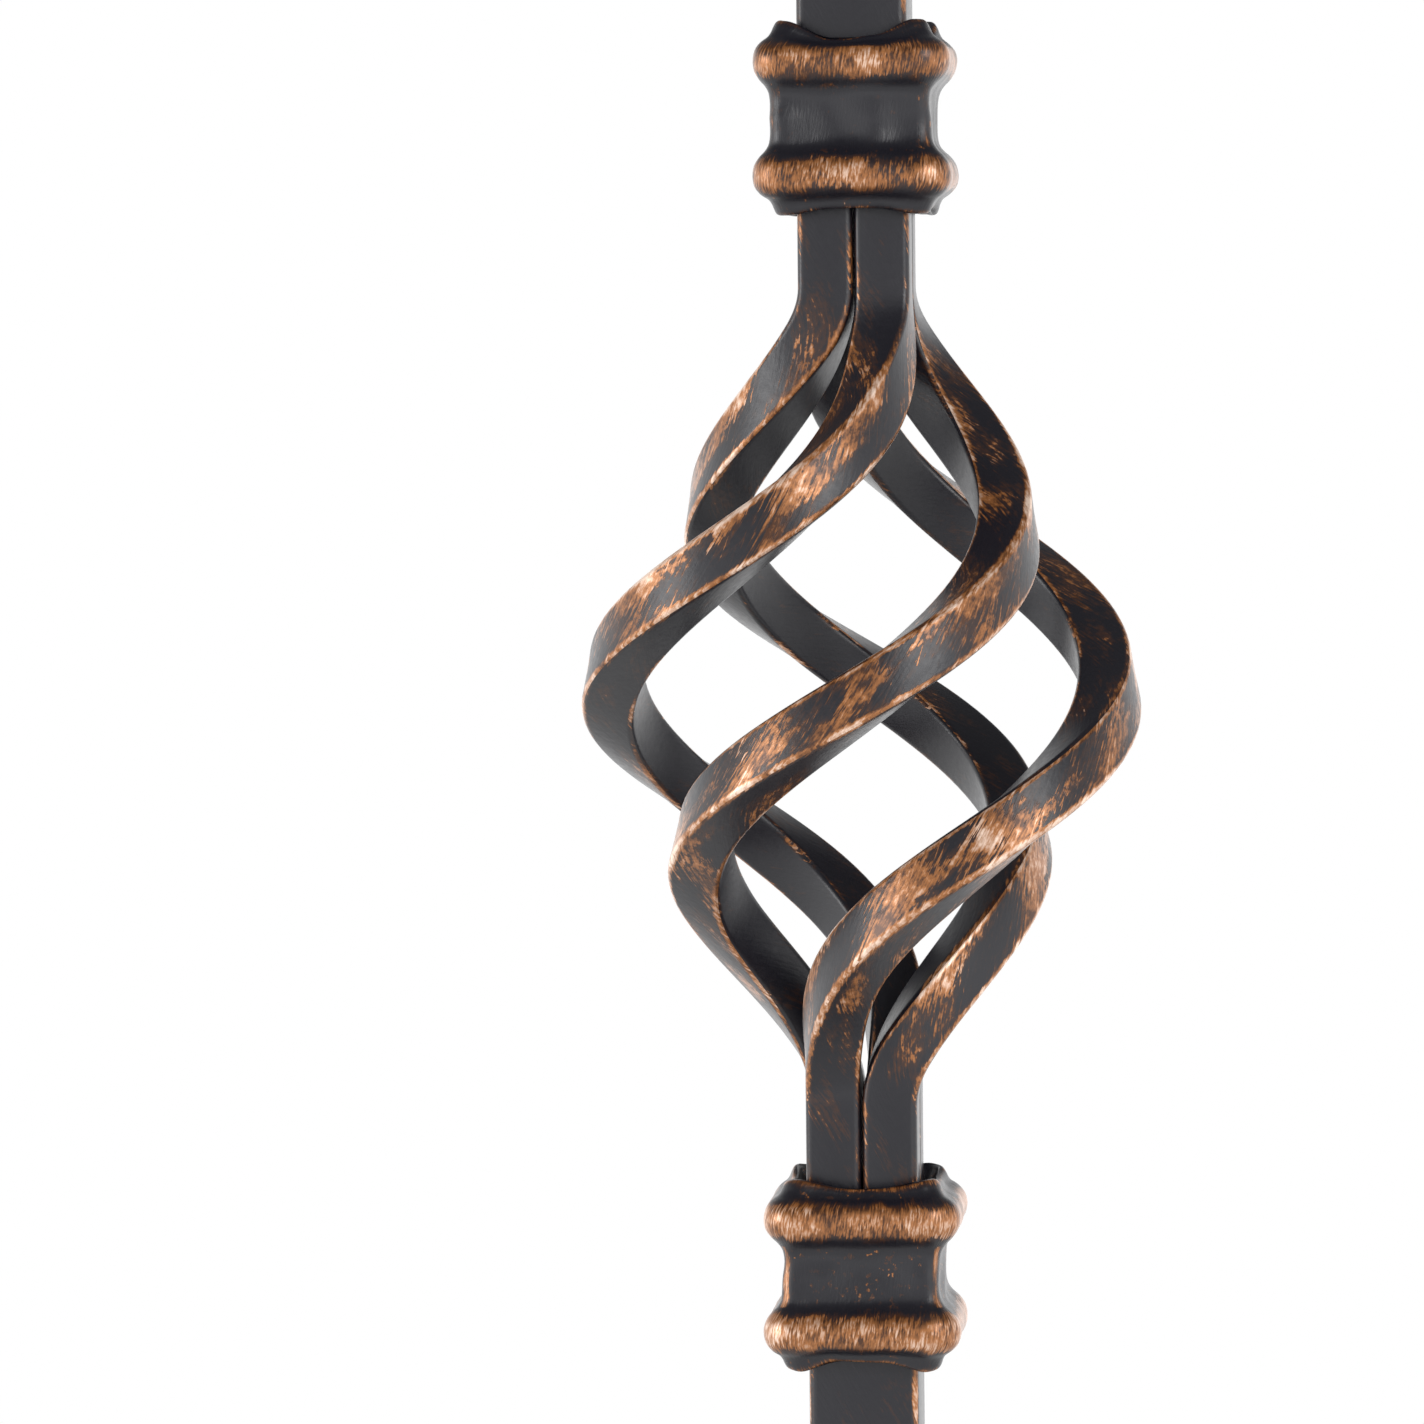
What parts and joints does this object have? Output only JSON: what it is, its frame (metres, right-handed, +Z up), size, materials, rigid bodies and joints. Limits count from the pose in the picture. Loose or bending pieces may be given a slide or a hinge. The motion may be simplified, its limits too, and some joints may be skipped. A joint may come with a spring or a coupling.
{
  "type": "iron stair baluster",
  "caption": "Slim square iron stair baluster with twisted lengths, a wound basket of square rods between cast collars, and a round dowel at its top, black with brushed copper.",
  "frame": {"origin": "middle of the foot's sawn end face, on the bar's axis", "axes": "+Z up along the bar towards the dowel, X and Y square to the bar's flats, the cross hole along Y"},
  "size_m": [0.065, 0.065, 1.1176],
  "materials": {
    "copper_brushed_black_bar": "satin black coating with copper brushed over the edges and outer faces by hand",
    "copper_brushed_black_casting": "satin black coating with copper brushed over the beads by hand"
  },
  "bodies": {
    "root": {"welded_ironwork": "copper_brushed_black_bar", "upper_collar": "copper_brushed_black_casting", "lower_collar": "copper_brushed_black_casting"}
  },
  "joints": []
}
